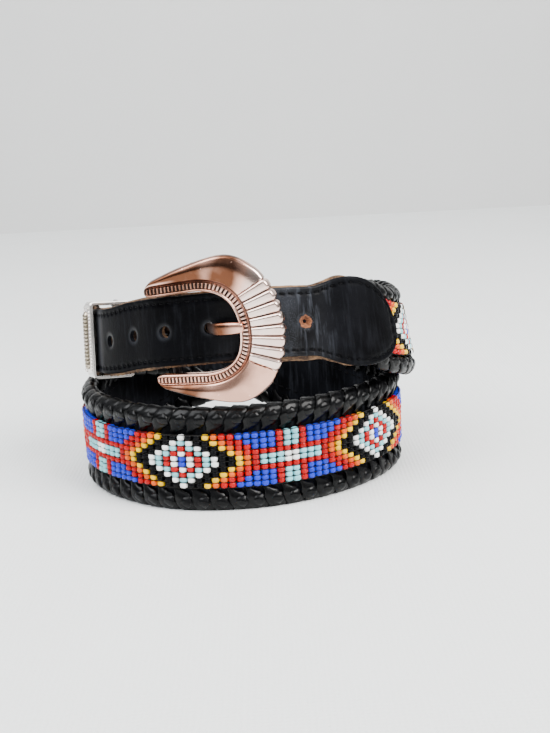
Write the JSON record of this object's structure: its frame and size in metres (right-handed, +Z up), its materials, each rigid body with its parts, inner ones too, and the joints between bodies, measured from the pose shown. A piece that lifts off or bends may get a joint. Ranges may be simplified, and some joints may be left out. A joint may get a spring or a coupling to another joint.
{
  "type": "beaded leather belt",
  "caption": "Laced leather belt with a loomed bead strip, fastened with a cast buckle, coiled twice and standing on its edge.",
  "frame": {"origin": "on the surface the belt stands on, under the middle of the coil's box", "axes": "+Z up, -Y towards the buckle side, +X to the right as seen from the buckle side"},
  "size_m": [0.1394, 0.1274, 0.0957],
  "materials": {
    "strap_leather": "black smooth leather, light sheen, creased",
    "brown_leather": "raw brown leather backing",
    "lace_leather": "black soft lace leather",
    "beads": "opaque glossy seed beads in blue, red, orange, yellow, black, white and light blue",
    "copper_metal": "polished copper-coloured cast metal with dark recesses",
    "silver_metal": "worn bright metal with dark recesses"
  },
  "bodies": {
    "root": {"belt_strap": "strap_leather", "bead_band": "beads", "upper_lacing": "lace_leather", "lower_lacing": "lace_leather", "tip_billet": "strap_leather", "tip_billet_lining": "brown_leather", "buckle_billet": "strap_leather", "buckle_frame": "copper_metal", "buckle_prong": "copper_metal", "keeper": "silver_metal", "belt_tip": "silver_metal"}
  },
  "joints": []
}
